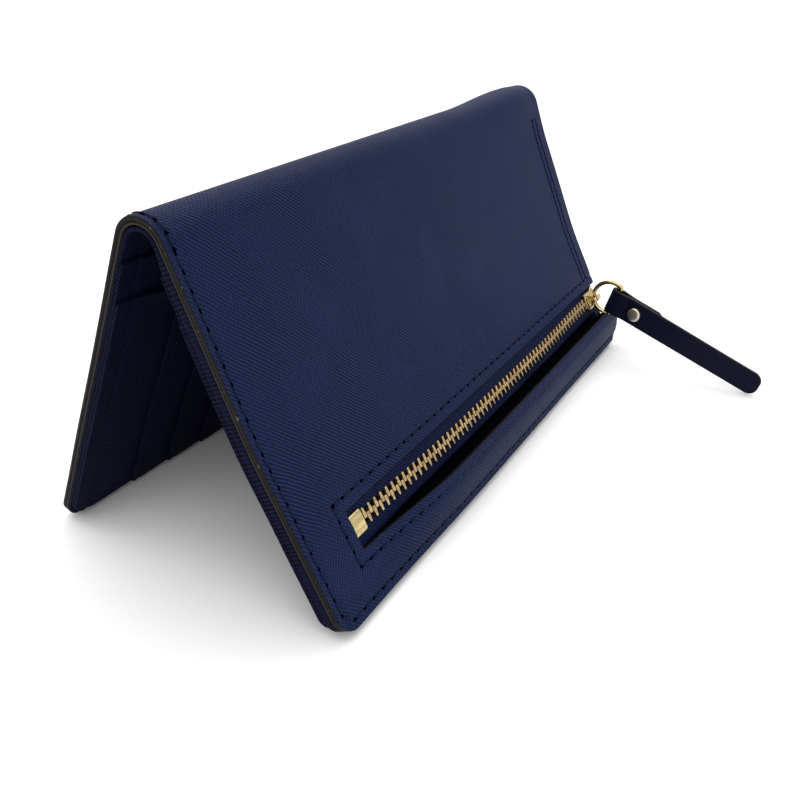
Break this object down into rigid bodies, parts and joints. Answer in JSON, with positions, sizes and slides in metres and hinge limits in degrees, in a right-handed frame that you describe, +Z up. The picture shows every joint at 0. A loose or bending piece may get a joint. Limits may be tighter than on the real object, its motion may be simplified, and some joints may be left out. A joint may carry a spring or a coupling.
{
  "type": "bifold wallet with zip pocket",
  "caption": "Long bifold leather wallet standing open on its flaps, with an outside zip pocket, inside pockets and card slots, and a riveted leather strap on the zip slider's D ring.",
  "frame": {"origin": "on the table, under the middle of the wallet's plan size with the pull as it lies", "axes": "+X along the fold towards the zip pull's end, +Y from the front flap to the back flap, +Z up"},
  "size_m": [0.184, 0.1458, 0.0884],
  "materials": {
    "cover_leather": "crosshatch embossed",
    "lining_leather": "satin",
    "strap_leather": "smooth",
    "board": "matt",
    "zip_tape": "woven",
    "bag_cloth": "woven",
    "thread": "twisted",
    "zip_teeth": "satin",
    "pull_metal": "polished",
    "rivet_metal": "satin"
  },
  "bodies": {
    "back_flap": {"back_cover": "cover_leather", "back_board": "board", "back_lining": "lining_leather", "back_pocket_1": "lining_leather", "back_pocket_2": "lining_leather", "card_slot_1": "lining_leather", "card_slot_2": "lining_leather", "card_slot_3": "lining_leather", "card_slot_4": "lining_leather", "card_slot_5": "lining_leather", "card_slot_6": "lining_leather", "back_edge_thread": "thread"},
    "spine": {"spine_cover": "cover_leather", "spine_board": "board", "spine_lining": "lining_leather", "spine_edge_thread": "thread"},
    "front_flap": {"front_cover": "cover_leather", "front_board": "board", "front_lining": "lining_leather", "front_pocket_1": "lining_leather", "front_pocket_2": "lining_leather", "zip_bag_front": "bag_cloth", "zip_bag_back": "bag_cloth", "zip_tape_upper": "zip_tape", "zip_tape_lower": "zip_tape", "zip_teeth_upper": "zip_teeth", "zip_teeth_lower": "zip_teeth", "zip_bottom_stop": "pull_metal", "zip_top_stops": "pull_metal", "front_edge_thread": "thread", "zip_frame_thread": "thread"},
    "slider": {"slider_top_plate": "pull_metal", "slider_bottom_plate": "pull_metal", "slider_bridge": "pull_metal"},
    "ring": {"pull_ring": "pull_metal"},
    "strap": {"pull_strap": "strap_leather", "pull_rivet_cap": "rivet_metal", "pull_rivet_post": "rivet_metal"}
  },
  "joints": [
    {"name": "back_fold", "type": "hinge", "parent": "back_flap", "child": "spine", "pos_m": [0, 0.03674, 0.08236], "axis": [-1, 0, 0], "range_deg": [-24, 66]},
    {"name": "front_fold", "type": "hinge", "parent": "spine", "child": "front_flap", "pos_m": [0, 0.02249, 0.08236], "axis": [-1, 0, 0], "range_deg": [-24, 66]},
    {"name": "zip_slide", "type": "slide", "parent": "front_flap", "child": "slider", "axis": [-1, 0, 0], "range_m": [0, 0.15]},
    {"name": "ring_swing", "type": "hinge", "parent": "slider", "child": "ring", "pos_m": [0.0845, -0.01515, 0.02022], "axis": [-1, 0, 0], "range_deg": [-10, 100]},
    {"name": "strap_swing", "type": "hinge", "parent": "ring", "child": "strap", "pos_m": [0.0845, -0.0174, 0.0194], "axis": [0, -0.342, 0.9397], "range_deg": [-60, 60]}
  ],
  "couplings": [
    {"joint": "front_fold", "follows": "back_fold", "ratio": 1}
  ]
}
